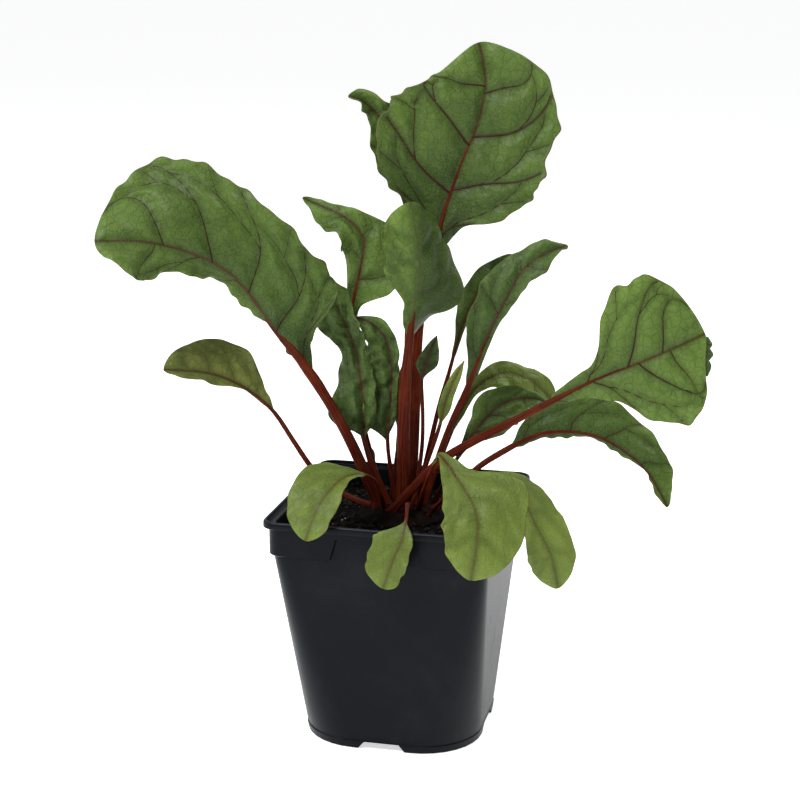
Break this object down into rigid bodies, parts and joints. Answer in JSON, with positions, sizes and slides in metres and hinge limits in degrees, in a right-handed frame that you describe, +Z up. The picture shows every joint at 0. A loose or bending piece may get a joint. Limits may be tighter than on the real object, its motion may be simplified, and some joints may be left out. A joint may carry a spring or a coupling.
{
  "type": "potted chard",
  "caption": "Young red-stemmed chard growing in a square plastic nursery pot: glossy veined leaves on red stalks rise and arch from a crown in dark compost.",
  "frame": {"origin": "middle of the pot's underside, on the surface that it stands on", "axes": "+Z up; the pot's front face looks along -Y and its right face along +X"},
  "size_m": [0.2252, 0.1165, 0.2695],
  "materials": {
    "pot": "satin black moulded polypropylene",
    "soil": "fine dark potting compost",
    "crown": "waxy dark red stalk bases",
    "leaf_green": "waxy green leaf with red midrib and veins",
    "leaf_dark": "waxy dark green leaf with dark red veins",
    "leaf_light": "waxy light green young leaf with red midrib"
  },
  "bodies": {
    "root": {"pot": "pot", "soil": "soil", "crown": "crown", "leaf_tall": "leaf_green", "leaf_tall_back": "leaf_green", "leaf_left_arch": "leaf_green", "leaf_pointed": "leaf_green", "leaf_centre": "leaf_green", "leaf_slim": "leaf_green", "leaf_right_upper": "leaf_dark", "leaf_narrow": "leaf_light", "leaf_yellow": "leaf_light", "leaf_dark_arch": "leaf_green", "leaf_narrow_dark": "leaf_dark", "leaf_right_fan": "leaf_green", "leaf_right_droop": "leaf_green", "leaf_left_low": "leaf_dark", "leaf_crinkled": "leaf_dark", "leaf_folded": "leaf_dark", "leaf_hook": "leaf_dark", "leaf_tiny": "leaf_dark", "leaf_rim_left": "leaf_light", "leaf_rim_front": "leaf_light", "leaf_rim_right": "leaf_light", "leaf_rim_corner": "leaf_light"}
  },
  "joints": []
}
